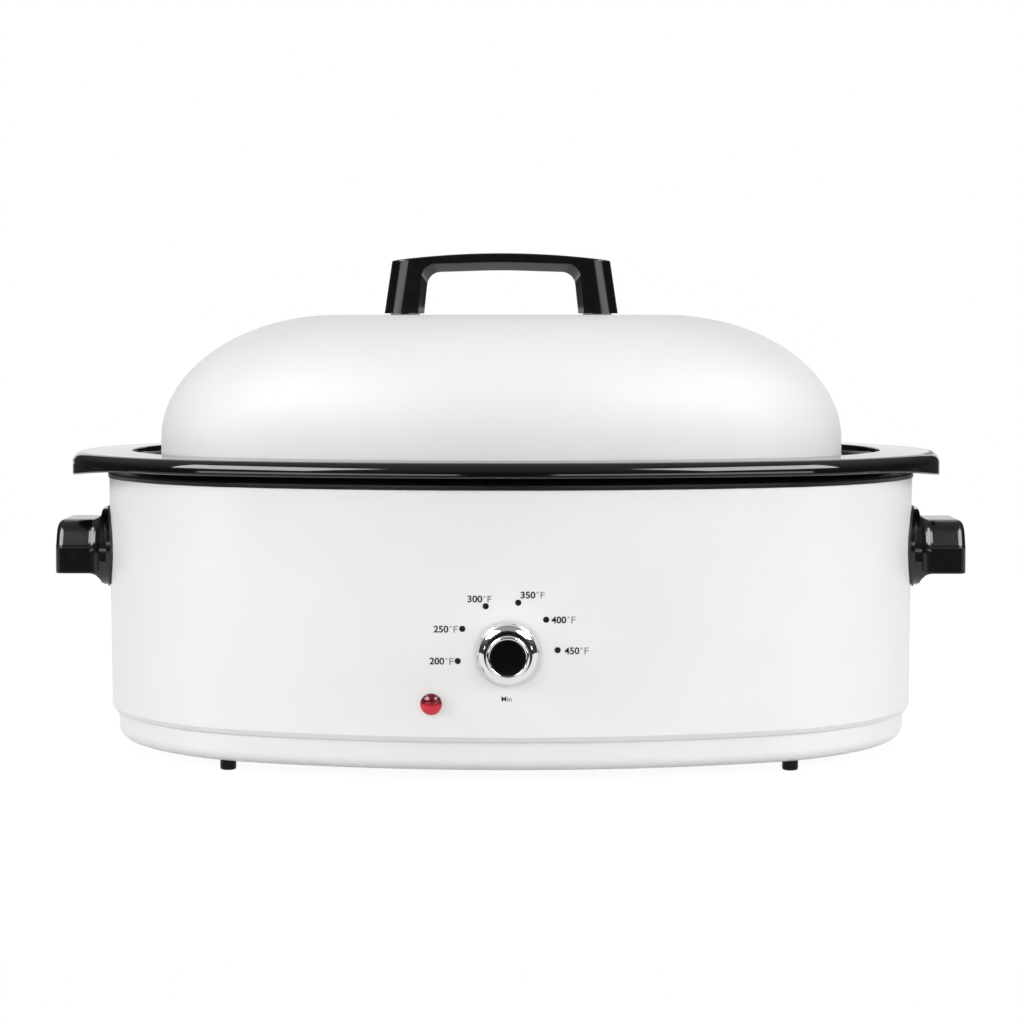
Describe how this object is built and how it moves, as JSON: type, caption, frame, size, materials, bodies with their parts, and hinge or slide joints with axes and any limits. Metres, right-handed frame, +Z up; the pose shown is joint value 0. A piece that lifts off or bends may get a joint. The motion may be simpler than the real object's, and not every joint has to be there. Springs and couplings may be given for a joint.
{
  "type": "electric roaster oven",
  "caption": "Countertop electric roaster oven: oval enamelled body with heater and dial, lift-out pan with wire rack, and a loose domed lid with a top handle.",
  "frame": {"origin": "bottom centre of the whole oven's box, on the surface that the four feet stand on", "axes": "+X to the right as seen from the front, along the length and through both side handles; +Y towards the back, away from the knob; +Z up"},
  "size_m": [0.5904, 0.4449, 0.3213],
  "materials": {
    "body_enamel": "glossy white enamel",
    "base_enamel": "glossy white enamel",
    "lid_enamel": "glossy white enamel",
    "liner_enamel": "black enamel",
    "cookwell_enamel": "glossy black enamel",
    "lid_handle_phenolic": "moulded, half gloss",
    "side_handle_phenolic": "moulded, half gloss",
    "foot_black": "moulded, glossy",
    "gasket": "matt",
    "knob_chrome": "polished",
    "knob_black": "moulded",
    "knob_cap_black": "moulded, glossy",
    "lens_red": "clear red moulding",
    "lamp_glass": "small neon lamp",
    "plated_steel": "zinc plated",
    "heater_steel": "dull sheathed band",
    "shield_steel": "bare aluminised sheet",
    "probe_copper": "bare copper",
    "glass_fibre": "soft blanket",
    "thermostat_moulding": "brown phenolic",
    "terminal_moulding": "steatite",
    "gland_moulding": "moulded",
    "wire_sleeve": "glass-sleeved lead",
    "rack_wire": "plated wire"
  },
  "bodies": {
    "oven": {"outer_shell": "body_enamel", "base_pan": "base_enamel", "foot_front_left": "foot_black", "foot_front_right": "foot_black", "foot_rear_left": "foot_black", "foot_rear_right": "foot_black", "inner_liner": "liner_enamel", "band_heater": "heater_steel", "heater_strap": "plated_steel", "heater_terminals": "plated_steel", "insulation": "glass_fibre", "heat_shield": "shield_steel", "centre_stud": "plated_steel", "stud_spacers": "plated_steel", "centre_nut": "plated_steel", "side_handle_left": "side_handle_phenolic", "side_handle_right": "side_handle_phenolic", "handle_gasket_left": "gasket", "handle_gasket_right": "gasket", "side_handle_screws": "plated_steel", "thermostat_body": "thermostat_moulding", "thermostat_screws": "plated_steel", "thermostat_probe": "probe_copper", "pilot_lens": "lens_red", "pilot_lamp": "lamp_glass", "lamp_retainer": "plated_steel", "cord_gland": "gland_moulding", "gland_nut": "plated_steel", "terminal_block": "terminal_moulding", "block_screws": "plated_steel", "lead_wires": "wire_sleeve"},
    "knob": {"thermostat_shaft": "plated_steel", "knob_hub": "knob_black", "knob_skirt": "knob_chrome", "knob_ring": "knob_chrome", "knob_cap": "knob_cap_black"},
    "cookwell": {"cookwell": "cookwell_enamel"},
    "rack": {"rack_frame": "rack_wire", "rack_bars": "rack_wire", "rack_runners": "rack_wire", "rack_pins": "rack_wire"},
    "bail_left": {"rack_handle_left": "rack_wire"},
    "bail_right": {"rack_handle_right": "rack_wire"},
    "lid": {"lid_shell": "lid_enamel", "lid_handle": "lid_handle_phenolic", "lid_handle_pads": "gasket", "lid_handle_washers": "plated_steel", "lid_handle_screws": "plated_steel"}
  },
  "joints": [
    {"name": "cookwell_lift", "type": "slide", "parent": "oven", "child": "cookwell", "axis": [0, 0, 1], "range_m": [0, 0.2]},
    {"name": "lid_lift", "type": "slide", "parent": "cookwell", "child": "lid", "axis": [0, 0, 1], "range_m": [0, 0.25]},
    {"name": "rack_lift", "type": "slide", "parent": "cookwell", "child": "rack", "axis": [0, 0, 1], "range_m": [0, 0.146]},
    {"name": "bail_left_fold", "type": "hinge", "parent": "rack", "child": "bail_left", "pos_m": [-0.153, 0.0105, 0.06608], "axis": [0, -1, 0], "range_deg": [0, 100]},
    {"name": "bail_right_fold", "type": "hinge", "parent": "rack", "child": "bail_right", "pos_m": [0.147, 0.0105, 0.06608], "axis": [0, 1, 0], "range_deg": [0, 100]},
    {"name": "knob_turn", "type": "hinge", "parent": "oven", "child": "knob", "pos_m": [0, -0.1945, 0.0784], "axis": [0, 1, 0], "range_deg": [-62.5, 203.4]}
  ]
}
